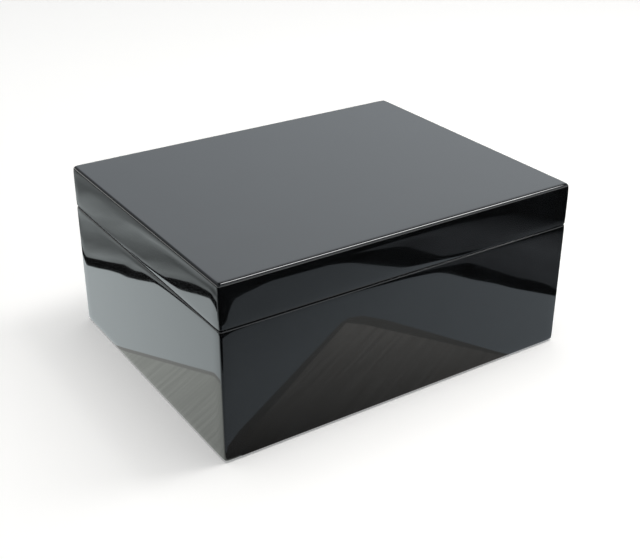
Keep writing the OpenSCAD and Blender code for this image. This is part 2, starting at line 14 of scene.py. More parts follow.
import bmesh
import bpy
from bmesh.types import BMesh, BMVert
from bpy.types import Material, Mesh, Node, NodeSocket, NodeTree, Object
from mathutils import Matrix, Vector, noise


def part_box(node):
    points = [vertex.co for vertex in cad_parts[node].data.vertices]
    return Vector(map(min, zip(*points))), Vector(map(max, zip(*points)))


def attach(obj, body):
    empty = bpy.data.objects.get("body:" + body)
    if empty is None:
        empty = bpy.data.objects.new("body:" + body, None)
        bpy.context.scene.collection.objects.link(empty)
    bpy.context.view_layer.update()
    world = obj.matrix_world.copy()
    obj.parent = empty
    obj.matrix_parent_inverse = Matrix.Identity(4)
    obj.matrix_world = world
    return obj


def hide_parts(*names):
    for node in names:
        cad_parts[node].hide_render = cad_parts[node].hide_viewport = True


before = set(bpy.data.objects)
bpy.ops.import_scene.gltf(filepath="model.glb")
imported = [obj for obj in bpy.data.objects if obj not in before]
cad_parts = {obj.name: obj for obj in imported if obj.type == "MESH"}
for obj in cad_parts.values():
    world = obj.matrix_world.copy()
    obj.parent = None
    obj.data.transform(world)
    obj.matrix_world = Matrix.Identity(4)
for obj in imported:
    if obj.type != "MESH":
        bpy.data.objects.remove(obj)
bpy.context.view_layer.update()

MM = 0.001
LOG = logging.getLogger("humidor")

Pair = tuple[float, float]
Triple = tuple[float, float, float]


# Nodes and materials


def linear(colour: str) -> tuple[float, float, float, float]:
    """Turns an sRGB hex colour into linear light.

    Args:
        colour: The colour, as "#rrggbb".

    Returns:
        Linear red, green and blue, and an alpha of 1.
    """
    shares = [int(colour[i:i + 2], 16) / 255 for i in (1, 3, 5)]
    red, green, blue = (s / 12.92 if s <= 0.04045 else ((s + 0.055) / 1.055) ** 2.4 for s in shares)
    return red, green, blue, 1.0


def add_node(
    tree: NodeTree,
    kind: str,
    inputs: dict[str | int, object] | None = None,
    stops: list[tuple[float, str]] | None = None,
    **settings: object,
) -> Node:
    """Adds a node with its settings and links.

    Args:
        tree: The node tree that gets the node.
        kind: Blender's name for the kind of node.
        inputs: What goes into its inputs, by name or number: a socket is linked, a value is set.
        stops: For a colour ramp, the places of its stops and their hex colours.
        settings: The node's own properties.

    Returns:
        The new node.
    """
    node = tree.nodes.new(kind)
    for name, value in settings.items():
        setattr(node, name, value)
    for number, (position, colour) in enumerate(stops or []):
        elements = node.color_ramp.elements
        stop = elements[number] if number < 2 else elements.new(position)
        stop.position = position
        stop.color = linear(colour)
    for key, value in (inputs or {}).items():
        if isinstance(value, NodeSocket):
            tree.links.new(value, node.inputs[key])
        else:
            node.inputs[key].default_value = value
    return node


def new_material(name: str, shade: Callable[[NodeTree], Node]) -> Material:
    """Makes a material of nodes.

    Args:
        name: The material's name.
        shade: Adds the shader's nodes to a tree, and gives the node whose first output is the surface.

    Returns:
        The material.
    """
    material = bpy.data.materials.new(name)
    material.use_nodes = True
    tree = material.node_tree
    tree.nodes.clear()
    add_node(tree, "ShaderNodeOutputMaterial", {"Surface": shade(tree).outputs[0]})
    return material


# Finishes


class Grain(Enum):
    """The way that a board's grain runs."""

    ALONG_X = 0
    ALONG_Y = 1


@dataclass(frozen=True)
class Finish:
    """What a surface is made of, and how it was made."""

    name: str

    def material(self) -> Material:
        """Gives the finish's material, which is made once."""
        return bpy.data.materials.get(self.name) or new_material(self.name, self.shade)

    def shade(self, tree: NodeTree) -> Node:
        """Adds the finish's nodes, and the shader that they feed."""
        return add_node(tree, "ShaderNodeBsdfPrincipled", self.surface(tree))

    def surface(self, tree: NodeTree) -> dict[str, object]:
        """Adds the nodes of the finish's patterns.

        Args:
            tree: The material's node tree.

        Returns:
            What goes into the shader's inputs, by name.
        """
        raise NotImplementedError

    @staticmethod
    def pattern(
        tree: NodeTree, size_mm: float | Triple, turn_deg: float = 0.0, **inputs: float
    ) -> NodeSocket:
        """Adds a soft noise whose grains have a real size.

        Args:
            tree: The material's node tree.
            size_mm: The size of a grain, or its sizes along X, Y and Z.
            turn_deg: The grains' turn about Z.
            inputs: Other inputs of the noise, such as Detail.

        Returns:
            The socket that gives the noise, from 0 to 1.
        """
        sizes = size_mm if isinstance(size_mm, tuple) else (size_mm,) * 3
        grains = {
            "Vector": add_node(tree, "ShaderNodeTexCoord").outputs["Object"],
            "Rotation": (0, 0, math.radians(turn_deg)),
            "Scale": [size * MM for size in sizes],
        }
        scaled = add_node(tree, "ShaderNodeMapping", grains, vector_type="TEXTURE")
        fed = {"Vector": scaled.outputs[0], "Scale": 1.0, **inputs}
        return add_node(tree, "ShaderNodeTexNoise", fed).outputs[0]


@dataclass(frozen=True)
class PolyesterLacquer(Finish):
    """Black polyester lacquer, sprayed thick on fibreboard, sanded flat by hand and buffed."""

    name: str = "polyester_lacquer_black"
    deep: str = "#08090a"
    worn: str = "#111315"
    swell_mm: float = 46.0
    swell_height_mm: float = 0.05
    peel_mm: float = 3.2
    peel_height_mm: float = 0.0006
    haze_mm: float = 28.0
    smoothest: float = 0.035
    roughest: float = 0.09

    def surface(self, tree: NodeTree) -> dict[str, object]:
        """Adds the nodes: a deep black under a clear mirror skin that is never quite flat.

        Args:
            tree: The material's node tree.

        Returns:
            The shader's inputs.
        """
        # Hand sanding leaves long swells, so reflected lines waver. Buffing leaves a faint uneven haze.
        swell = self.pattern(tree, self.swell_mm, Detail=1.0, Roughness=0.35)
        peel = self.pattern(tree, self.peel_mm, Detail=2.0)
        haze = self.pattern(tree, self.haze_mm, Detail=5.0, Roughness=0.65)
        tones = [(0.35, self.deep), (0.75, self.worn)]
        colour = add_node(tree, "ShaderNodeValToRGB", {"Fac": haze}, tones)
        buffed = {"Value": haze, "To Min": self.smoothest, "To Max": self.roughest}
        dull = add_node(tree, "ShaderNodeMapRange", buffed)
        swells = {"Height": swell, "Distance": self.swell_height_mm * MM, "Strength": 1.0}
        waves = add_node(tree, "ShaderNodeBump", swells)
        peels = {"Height": peel, "Distance": self.peel_height_mm * MM, "Normal": waves.outputs[0]}
        skin = add_node(tree, "ShaderNodeBump", peels)
        return {
            "Base Color": colour.outputs[0],
            "Roughness": dull.outputs[0],
            "IOR": 1.55,
            "Normal": skin.outputs[0],
            "Coat Weight": 1.0,
            "Coat Roughness": 0.015,
            "Coat IOR": 1.65,
            "Coat Normal": skin.outputs[0],
        }


@dataclass(frozen=True)
class SpanishCedar(Finish):
    """Spanish cedar, sawn plain and sanded bare, so that it keeps its smell and takes up moisture."""

    grain: Grain
    pale: str = "#d3a27c"
    middle: str = "#bd8259"
    dark: str = "#95593a"
    pore: str = "#5f3522"
    ring_mm: float = 7.0
    figure_mm: float = 150.0
    pore_mm: float = 0.8
    pore_length_mm: float = 11.0
    fibre_mm: float = 0.5
    fibre_length_mm: float = 30.0
    cast_mm: Triple = (70.0, 70.0, 40.0)
    relief_mm: float = 0.09

    def sizes(self, across_mm: float, along_mm: float) -> Triple:
        """The size of a pattern along X, Y and Z, for the way the grain runs."""
        return tuple(along_mm if axis == self.grain.value else across_mm for axis in range(3))

    def surface(self, tree: NodeTree) -> dict[str, object]:
        """Adds the nodes: soft rings of light and dark wood, with open pores that show as short streaks.

        Args:
            tree: The material's node tree.

        Returns:
            The shader's inputs.
        """
        ring_sizes = self.sizes(self.ring_mm, self.figure_mm)
        rings = self.pattern(tree, ring_sizes, Detail=6.0, Roughness=0.6, Distortion=0.5)
        # The pores are a quarter of a millimetre wide, and are drawn three times as wide so that they show.
        pores = self.pattern(tree, self.sizes(self.pore_mm, self.pore_length_mm), Detail=2.0)
        fibres = self.pattern(tree, self.sizes(self.fibre_mm, self.fibre_length_mm), Detail=3.0)
        cast = self.pattern(tree, self.cast_mm, Detail=2.0)
        tones = [(0.28, self.dark), (0.5, self.middle), (0.72, self.pale)]
        wood = add_node(tree, "ShaderNodeValToRGB", {"Fac": rings}, tones)
        shade = add_node(tree, "ShaderNodeMapRange", {"Value": cast, "To Min": 0.82, "To Max": 1.14})
        toned = add_node(
            tree, "ShaderNodeMix", {0: 1.0, 6: wood.outputs[0], 7: shade.outputs[0]},
            data_type="RGBA", blend_type="MULTIPLY",
        )
        opening = {"Value": pores, "From Min": 0.6, "From Max": 0.72, "To Max": 0.7}
        open_pores = add_node(tree, "ShaderNodeMapRange", opening).outputs[0]
        filled = {0: open_pores, 6: toned.outputs[2], 7: linear(self.pore)}
        colour = add_node(tree, "ShaderNodeMix", filled, data_type="RGBA")
        relief = add_node(tree, "ShaderNodeMath", {0: fibres, 1: open_pores}, operation="SUBTRACT")
        grooves = {"Height": relief.outputs[0], "Distance": self.relief_mm * MM, "Strength": 0.8}
        bump = add_node(tree, "ShaderNodeBump", grooves)
        rough = add_node(tree, "ShaderNodeMapRange", {"Value": rings, "To Min": 0.72, "To Max": 0.55})
        return {
            "Base Color": colour.outputs[2],
            "Roughness": rough.outputs[0],
            "IOR": 1.46,
            "Normal": bump.outputs[0],
            "Sheen Weight": 0.08,
        }


@dataclass(frozen=True)
class Grained(Finish):
    """A moulded, painted or printed surface in two close tones, with a fine even grain."""

    light: str
    shadow: str
    smoothest: float
    roughest: float
    grain_mm: float | Triple
    grain_height_mm: float
    sheen: float = 0.0
    # The grain's noise goes from the first of these at the smoothest spots to the second at the roughest.
    grain_spread: Pair = (0.0, 1.0)
    grain_detail: float = 3.0
    cloud_mm: float = 18.0
    metallic: float = 0.0

    def surface(self, tree: NodeTree) -> dict[str, object]:
        """Adds the nodes: clouds of the two tones, and a small relief along which the shine shifts.

        Args:
            tree: The material's node tree.

        Returns:
            The shader's inputs.
        """
        grain = self.pattern(tree, self.grain_mm, Detail=self.grain_detail, Roughness=0.6)
        clouds = self.pattern(tree, self.cloud_mm, Detail=3.0)
        tones = [(0.3, self.shadow), (0.7, self.light)]
        colour = add_node(tree, "ShaderNodeValToRGB", {"Fac": clouds}, tones)
        spread_from, spread_to = self.grain_spread
        shine = {
            "Value": grain, "From Min": spread_from, "From Max": spread_to,
            "To Min": self.smoothest, "To Max": self.roughest,
        }
        rough = add_node(tree, "ShaderNodeMapRange", shine)
        bump = add_node(tree, "ShaderNodeBump", {"Height": grain, "Distance": self.grain_height_mm * MM})
        return {
            "Base Color": colour.outputs[0],
            "Metallic": self.metallic,
            "Roughness": rough.outputs[0],
            "Normal": bump.outputs[0],
            "Sheen Weight": self.sheen,
        }


@dataclass(frozen=True)
class Metal(Grained):
    """A solid or plated metal, whose grain is the marks that its making left on it."""

    grain_spread: Pair = (0.3, 0.7)
    grain_detail: float = 4.0
    cloud_mm: float = 9.0
    metallic: float = 1.0


@dataclass(frozen=True)
class OpenCellFoam(Finish):
    """Green phenolic foam, cut from a block and charged with water."""

    name: str = "phenolic_foam_green"
    wall: str = "#5d8a55"
    cell: str = "#21401f"
    cell_mm: float = 1.1
    cell_depth_mm: float = 0.4

    def surface(self, tree: NodeTree) -> dict[str, object]:
        """Adds the nodes: pale walls round dark open cells, damp enough to glint.

        Args:
            tree: The material's node tree.

        Returns:
            The shader's inputs.
        """
        spread = {
            "Vector": add_node(tree, "ShaderNodeTexCoord").outputs["Object"],
            "Scale": 1 / (self.cell_mm * MM),
        }
        cells = add_node(tree, "ShaderNodeTexVoronoi", spread).outputs["Distance"]
        tones = [(0.25, self.cell), (0.6, self.wall)]
        colour = add_node(tree, "ShaderNodeValToRGB", {"Fac": cells}, tones)
        bump = add_node(tree, "ShaderNodeBump", {"Height": cells, "Distance": self.cell_depth_mm * MM})
        return {"Base Color": colour.outputs[0], "Roughness": 0.5, "Normal": bump.outputs[0]}


@dataclass(frozen=True)
class WatchGlass(Finish):
    """Flat mineral glass, cut and polished, with a trace of handling."""

    name: str = "mineral_glass"
    tint: str = "#fbfdfc"
    smudge_mm: float = 7.0

    def surface(self, tree: NodeTree) -> dict[str, object]:
        """Adds the nodes: a clear pane whose smudges soften a reflection a little.

        Args:
            tree: The material's node tree.

        Returns:
            The shader's inputs.
        """
        smudge = self.pattern(tree, self.smudge_mm, Detail=4.0)
        rough = add_node(tree, "ShaderNodeMapRange", {"Value": smudge, "From Min": 0.5, "To Max": 0.05})
        return {
            "Base Color": linear(self.tint),
            "Roughness": rough.outputs[0],
            "IOR": 1.52,
            "Transmission Weight": 1.0,
        }


LACQUER = PolyesterLacquer()
CEDAR_X = SpanishCedar("spanish_cedar_along_x", Grain.ALONG_X)
CEDAR_Y = SpanishCedar("spanish_cedar_along_y", Grain.ALONG_Y)
# Cast brass, polished on a wheel: warm and bright, with faint wheel lines.
BRASS = Metal("polished_brass", "#ecc877", "#cfa552", 0.12, 0.27, (9.0, 1.2, 9.0), 0.002)
# Ground steel rod: grey, with lines round it.
PIN_STEEL = Metal("ground_steel", "#c9cacc", "#a9abad", 0.2, 0.32, (0.5, 4.0, 4.0), 0.003)
# Zinc plate: a cool grey, with soft crystal clouds.
ZINC = Metal("zinc_plate", "#c4c8cc", "#9da3a8", 0.28, 0.45, 3.0, 0.004)
# Nickel plate: a warm grey mirror.
NICKEL = Metal("nickel_plate", "#cfc9bd", "#aaa59b", 0.1, 0.2, 5.0, 0.001)
# Moulded ABS: black, with a spark-eroded grain of 0.15 mm that is drawn coarser so that it shows.
ABS = Grained("abs_moulded_black", "#222224", "#161617", 0.42, 0.58, 0.6, 0.03)
# Pressed wool felt: deep black, fuzzy, and bright where its fibres catch a grazing light.
FELT = Grained("wool_felt_black", "#1f1f21", "#0f0f10", 0.9, 1.0, 0.9, 0.25, 0.6)
# Stove enamel on sheet brass: warm ivory, matt.
ENAMEL = Grained("stove_enamel_ivory", "#f1ead6", "#e8dfc6", 0.4, 0.5, 0.8, 0.004)
# Printing ink: satin black and a leaf green, a little uneven.
INK = Grained("printing_ink_black", "#1e1d1c", "#131211", 0.5, 0.6, 0.3, 0.003)
INK_GREEN = Grained("printing_ink_green", "#5c8a4c", "#4c783f", 0.5, 0.6, 0.3, 0.003)
# Satin paint on thin brass: black, smooth, with a soft shine.
NEEDLE_PAINT = Grained("satin_paint_black", "#1b1b1c", "#101011", 0.3, 0.4, 0.4, 0.003)
FOAM = OpenCellFoam()
GLASS = WatchGlass()


# Shared ways to make and dress pieces

# Points of a CAD mesh and of a built mesh that are nearer than this are one point.
CAD_WELD = 0.001 * MM
BUILT_WELD = 0.0001 * MM
# Faces that turn less than the first are one flat face, and edges that turn more than the second are sharp.
FLAT_DEG = 1.0
SHARP_DEG = 40.0
EASED_SEGMENTS = 2


def wear(node: str, finish: Finish) -> Object:
    """Gives a CAD node its finish.

    Args:
        node: The node's name.
        finish: The finish it gets.

    Returns:
        The node's object.
    """
    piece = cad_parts[node]
    piece.data.materials.clear()
    piece.data.materials.append(finish.material())
    LOG.info("%s wears %s", node, finish.name)
    return piece


def ease(piece: Object, width: float) -> None:
    """Breaks the sharp edges of a CAD board, as sandpaper does.

    Args:
        piece: The board's object.
        width: The width of the broken edge.
    """
    weld = piece.modifiers.new("weld", "WELD")
    weld.merge_threshold = CAD_WELD
    flat = piece.modifiers.new("flat_faces", "DECIMATE")
    flat.decimate_type = "DISSOLVE"
    flat.angle_limit = math.radians(FLAT_DEG)
    edge = piece.modifiers.new("eased_edge", "BEVEL")
    edge.width = width
    edge.segments = EASED_SEGMENTS
    edge.limit_method = "ANGLE"
    edge.angle_limit = math.radians(SHARP_DEG)
    normals = piece.modifiers.new("face_normals", "WEIGHTED_NORMAL")
    normals.keep_sharp = False


def put_in_scene(name: str, data: bpy.types.ID) -> Object:
    """Makes an object of a mesh, a lamp or a camera, and links it to the scene.

    Args:
        name: The object's name.
        data: The mesh, lamp or camera.

    Returns:
        The object.
    """
    made = bpy.data.objects.new(name, data)
    bpy.context.scene.collection.objects.link(made)
    return made


def new_piece(
    name: str, mesh: Mesh, body: str, finish: Finish, stands_for: tuple[str, ...] = ()
) -> Object:
    """Makes a piece of a mesh that lies in place.

    Args:
        name: The piece's name.
        mesh: Its mesh, in the frame of the box.
        body: The CAD body that it rides on.
        finish: The finish it gets.
        stands_for: The CAD nodes that it replaces.

    Returns:
        The piece.
    """
    mesh.materials.clear()
    mesh.materials.append(finish.material())
    piece = put_in_scene(name, mesh)
    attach(piece, body)
    if stands_for:
        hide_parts(*stands_for)
    LOG.info("%s: %d faces of %s", name, len(mesh.polygons), finish.name)
    return piece


def mesh_of(build: BMesh, name: str) -> Mesh:
    """Turns a bmesh into a mesh with outward faces, and frees it.

    Args:
        build: The bmesh.
        name: The mesh's name.

    Returns:
        The mesh.
    """
    bmesh.ops.remove_doubles(build, verts=build.verts, dist=BUILT_WELD)
    bmesh.ops.recalc_face_normals(build, faces=build.faces)
    mesh = bpy.data.meshes.new(name)
    build.to_mesh(mesh)
    build.free()
    return mesh


def add_block(build: BMesh, low: Vector, high: Vector) -> None:
    """Adds a block to a bmesh, between two corners."""
    size = Matrix.Diagonal((*(high - low), 1))
    bmesh.ops.create_cube(build, size=1.0, matrix=Matrix.Translation((low + high) / 2) @ size)


def add_band(build: BMesh, below: list[BMVert], above: list[BMVert]) -> None:
    """Adds the faces between two closed rows of points, which run the same way round."""
    for i in range(len(below)):
        build.faces.new((below[i - 1], below[i], above[i], above[i - 1]))


def border(grid: list[list[BMVert]]) -> list[BMVert]:
    """Walks round the border of a grid of points.

    Args:
        grid: The points, in rows from front to back.

    Returns:
        The points of the border, from the front left corner on.
    """
    right = [line[-1] for line in grid[:-1]]
    left = [line[0] for line in grid[:0:-1]]
    return grid[0][:-1] + right + grid[-1][:0:-1] + left


# Lacquered box


@dataclass(frozen=True)
class RolledEdge:
    """An edge of buffed lacquer: both faces fall away slowly, and a tight arc turns the corner."""

    side_fall: float
    cap_fall: float
    radius: float
    lean_deg: float = 5.0
    steps: int = 8

    @cached_property
    def path(self) -> list[Triple]:
        """Walks the edge from the side to the cap.

        Returns:
            How far each point is drawn in and risen, and the skin's turn, from 0 (side) to pi / 2 (cap).
        """
        lean = math.radians(self.lean_deg)
        corner = math.pi / 2 - 2 * lean
        stretches = (
            (self.side_fall, lambda share: lean * share ** 2),
            (self.radius * corner, lambda share: lean + corner * share),
            (self.cap_fall, lambda share: math.pi / 2 - lean * (1 - share) ** 2),
        )
        inset = rise = 0.0
        points = [(inset, rise, 0.0)]
        for length, turn in stretches:
            for step in range(self.steps):
                middle = turn((step + 0.5) / self.steps)
                inset += math.sin(middle) * length / self.steps
                rise += math.cos(middle) * length / self.steps
                points.append((inset, rise, turn((step + 1) / self.steps)))
        return points

    @property
    def draw(self) -> float:
        """How far the whole edge draws in."""
        return self.path[-1][0]

    @property
    def reach(self) -> float:
        """How far the whole edge rises."""
        return self.path[-1][1]

    @cached_property
    def bearings(self) -> list[float]:
        """The bearing of each point of the path, seen from the edge's centre."""
        return [math.atan2(rise, self.draw - inset) for inset, rise, _ in self.path]

    def facing(self, inset: float, rise: float) -> Pair:
        """Finds the part of the edge that a point belongs to.

        Args:
            inset: How far the point is drawn in.
            rise: How far it has risen.

        Returns:
            Its distance from the edge's centre, as a share of the skin's, and the turn of the skin there.
        """
        if rise <= 0 or inset >= self.draw:
            return 1.0, 0.0 if rise <= 0 else math.pi / 2
        bearing = math.atan2(rise, self.draw - inset)
        after = min(max(bisect(self.bearings, bearing), 1), len(self.path) - 1)
        (inset_a, rise_a, turn_a), (inset_b, rise_b, turn_b) = self.path[after - 1:after + 1]
        share = (bearing - self.bearings[after - 1]) / (self.bearings[after] - self.bearings[after - 1])
        skin = math.hypot(
            self.draw - inset_a - share * (inset_b - inset_a), rise_a + share * (rise_b - rise_a)
        )
        return math.hypot(self.draw - inset, rise) / skin, turn_a + share * (turn_b - turn_a)


@dataclass
class LacqueredShell:
    """One half of the box: four mitred panels under one unbroken skin of lacquer."""

    name: str
    body: str
    panels: tuple[str, ...]
    low_z: float
    high_z: float
    low_edge: RolledEdge
    high_edge: RolledEdge
    half_w: float
    half_d: float
    corner: RolledEdge
    # A point this near to the outer skin lies on it.
    skin: float = 0.02 * MM
    # A face follows the skin where the cosine between their directions is above this.
    follows: float = 0.8

    def ring(self, inset: float) -> list[Pair]:
        """The outline of the box in plan, drawn in by a distance.

        Args:
            inset: The distance.

        Returns:
            The outline's points, in order round the box.
        """
        share = max(1 - inset / self.corner.reach, 0.0)
        centre_x = self.half_w - max(inset, self.corner.reach)
        centre_y = self.half_d - max(inset, self.corner.reach)
        arc = [(share * (self.corner.draw - drawn), share * rise) for drawn, rise, _ in self.corner.path]
        points = []
        for sign_x, sign_y, swapped in ((1, 1, False), (-1, 1, True), (-1, -1, False), (1, -1, True)):
            for x, y in reversed(arc) if swapped else arc:
                points.append((sign_x * (centre_x + x), sign_y * (centre_y + y)))
        return points

    def sides(self) -> list[Pair]:
        """The outer skin's section, from the lower cap up to the higher one.

        Returns:
            Pairs of inset and height.
        """
        low, high = self.low_edge, self.high_edge
        rising = [(inset, self.low_z + low.reach - rise) for inset, rise, _ in reversed(low.path)]
        return rising + [(inset, self.high_z - high.reach + rise) for inset, rise, _ in high.path]

    def loft(self, section: list[Pair], closed: bool) -> Mesh:
        """Sweeps a section round the box.

        Args:
            section: Pairs of inset and height.
            closed: Whether the section runs back to its start. If not, its two ends are capped.

        Returns:
            The mesh.
        """
        build = bmesh.new()
        rings = [[build.verts.new((x, y, z)) for x, y in self.ring(inset)] for inset, z in section]
        for below, above in zip(rings, rings[1:] + rings[:1] if closed else rings[1:]):
            add_band(build, below, above)
        if not closed:
            build.faces.new(rings[0])
            build.faces.new(rings[-1])
        return mesh_of(build, self.name)

    def normal(self, point: Vector) -> Vector | None:
        """The direction that the outer skin faces at a point.

        Args:
            point: The point.

        Returns:
            The direction, or None for a point that isn't on the outer skin.
        """
        reach = self.corner.reach
        across = abs(point.x) - self.half_w + reach
        along = abs(point.y) - self.half_d + reach
        if across > 0 and along > 0:
            share, turn = self.corner.facing(reach - across, along)
            side = Vector((math.cos(turn), math.sin(turn), 0))
            inset = reach * (1 - share)
            lean = (side.x * across + side.y * along) / (share * reach)
        else:
            side = Vector((1, 0, 0)) if across > along else Vector((0, 1, 0))
            inset = reach - max(across, along)
            lean = 1.0
        side = Vector((math.copysign(side.x, point.x), math.copysign(side.y, point.y), 0))
        for edge, end, up in ((self.low_edge, self.low_z, -1), (self.high_edge, self.high_z, 1)):
            rise = edge.reach - abs(end - point.z)
            if rise > 0:
                share, turn = edge.facing(inset, rise)
                if abs(1 - share) * edge.reach > self.skin:
                    return None
                return (math.cos(turn) * side + lean * math.sin(turn) * Vector((0, 0, up))).normalized()
        return side if abs(inset) < self.skin else None

    def polish(self, mesh: Mesh) -> None:
        """Gives every corner of the mesh the true direction of the skin, so that reflections run smoothly.

        Args:
            mesh: The mesh, which gets custom normals.
        """
        mesh.shade_smooth()
        normals = []
        for face in mesh.polygons:
            for corner in face.loop_indices:
                skin = self.normal(mesh.vertices[mesh.loops[corner].vertex_index].co)
                follows = skin and skin.dot(face.normal) > self.follows
                normals.append(skin if follows else face.normal.copy())
        mesh.normals_split_custom_set(normals)

    def build(self, section: list[Pair], closed: bool, cuts: list[Object]) -> None:
        """Makes the shell, with its hinge recesses cut out, in place of its panels.

        Args:
            section: The whole section, as pairs of inset and height.
            closed: Whether the section runs back to its start.
            cuts: What is cut out. These objects are removed.
        """
        rough = put_in_scene("rough", self.loft(section, closed))
        for cut in cuts:
            boolean = rough.modifiers.new(cut.name, "BOOLEAN")
            boolean.object = cut
            boolean.solver = "EXACT"
        mesh = bpy.data.meshes.new_from_object(rough.evaluated_get(bpy.context.evaluated_depsgraph_get()))
        mesh.name = self.name
        for used in [rough, *cuts]:
            bpy.data.objects.remove(used)
        self.polish(mesh)
        new_piece(self.name, mesh, self.body, LACQUER, self.panels)


@dataclass
class HingeRecess:
    """What a rim loses for the two hinges: the leaf's bed, the arm's pocket and the knuckles' groove."""

    side_leg_w: float = 8 * MM
    back_leg_w: float = 10 * MM
    leaf_t: float = 2 * MM
    fit: float = 0.15 * MM
    groove_r: float = 3.35 * MM
    groove_end: float = 0.5 * MM
    groove_segments: int = 48
    pocket_fit: float = 0.5 * MM
    beyond: float = 1 * MM

    def cuts(self, rim_z: float, down: bool) -> list[Object]:
        """Makes the cutting objects for one rim.

        Args:
            rim_z: The rim's height.
            down: Whether the cuts go down into the wood, as in the base, or up, as in the lid.

        Returns:
            The cutting objects.
        """
        way = -1 if down else 1
        pin_low, pin_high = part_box("hinge_pin_left")
        pin = (pin_low + pin_high) / 2
        leaf_low, leaf_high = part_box("base_hinge_leaf_left")
        arm_low, arm_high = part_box("quadrant_arm_left")
        arm_end = arm_low.z if down else arm_high.z
        bed = sorted((rim_z - way * self.beyond, rim_z + way * self.leaf_t))
        pocket = sorted((rim_z - way * self.beyond, arm_end + way * self.pocket_fit))
        back = pin.y - self.groove_r
        behind = pin.y + 2 * self.groove_r
        leaf_room = Vector((self.fit, self.fit, 0))
        arm_room = Vector((self.pocket_fit, 0, 0))
        groove_room = Vector((self.groove_end, 0, 0))
        blocks = (
            ((leaf_low.x, leaf_low.y, bed[0]), (leaf_low.x + self.side_leg_w, back, bed[1]), leaf_room),
            ((leaf_low.x, pin.y - self.back_leg_w, bed[0]), (leaf_high.x, back, bed[1]), leaf_room),
            ((arm_low.x, arm_low.y, pocket[0]), (arm_high.x, arm_high.y, pocket[1]), arm_room),
            ((pin_low.x, back - self.beyond, bed[0]), (pin_high.x, behind, bed[1]), groove_room),
        )
        made = []
        for side in (1, -1):
            mirrored = Matrix.Diagonal((side, 1, 1, 1))
            for low, high, room in blocks:
                build = bmesh.new()
                add_block(build, Vector(low) - room, Vector(high) + room)
                made.append(self.cutter(build, mirrored))
            build = bmesh.new()
            bmesh.ops.create_cone(
                build,
                cap_ends=True,
                segments=self.groove_segments,
                radius1=self.groove_r,
                radius2=self.groove_r,
                depth=pin_high.x - pin_low.x + 2 * self.groove_end,
                matrix=Matrix.Translation(pin) @ Matrix.Rotation(math.pi / 2, 4, "Y"),
            )
            made.append(self.cutter(build, mirrored))
        return made

    @staticmethod
    def cutter(build: BMesh, placed: Matrix) -> Object:
        """Makes a cutting object of a bmesh, where a matrix puts it."""
        bmesh.ops.transform(build, matrix=placed, verts=build.verts)
        return put_in_scene("hinge_cut", mesh_of(build, "hinge_cut"))


@dataclass
class LacqueredBox:
    """The outside of the humidor: the base and the lid, flush with each other at the seam."""

    corner: RolledEdge = RolledEdge(9 * MM, 9 * MM, 1.8 * MM)
    edge: RolledEdge = RolledEdge(9 * MM, 2.5 * MM, 2.1 * MM)
    foot: RolledEdge = RolledEdge(5 * MM, 2 * MM, 1.2 * MM)
    rim: RolledEdge = RolledEdge(5 * MM, 1.5 * MM, 0.95 * MM, 4.0)
    recess: HingeRecess = field(default_factory=HingeRecess)

    def build(self) -> None:
        """Makes the base's and the lid's skins, and dresses the bottom panel."""
        base_low, base_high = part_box("base_front_panel")
        lid_low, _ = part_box("lid_front_panel")
        top_low, top_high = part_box("lid_top_panel")
        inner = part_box("base_floor_liner")[1]
        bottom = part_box("base_bottom_panel")[1]
        half_w, half_d = top_high.x, top_high.y
        wall = half_w - inner.x
        rebate = half_w - bottom.x
        base_panels, lid_panels = (
            tuple(f"{half}_{side}_panel" for side in ("front", "back", "left", "right"))
            for half in ("base", "lid")
        )
        base = LacqueredShell(
            "lacquered_base", "base", base_panels, base_low.z, base_high.z,
            self.foot, self.rim, half_w, half_d, self.corner,
        )
        lid = LacqueredShell(
            "lacquered_lid", "lid", ("lid_top_panel", *lid_panels), lid_low.z, top_high.z,
            self.rim, self.edge, half_w, half_d, self.corner,
        )
        inside = [(wall, base_high.z), (wall, bottom.z), (rebate, bottom.z), (rebate, base_low.z)]
        base.build(base.sides() + inside, True, self.recess.cuts(base_high.z, True))
        cavity = [(wall, top_low.z), (wall, lid_low.z)]
        lid.build(cavity + lid.sides(), False, self.recess.cuts(lid_low.z, False))
        wear("base_bottom_panel", LACQUER)


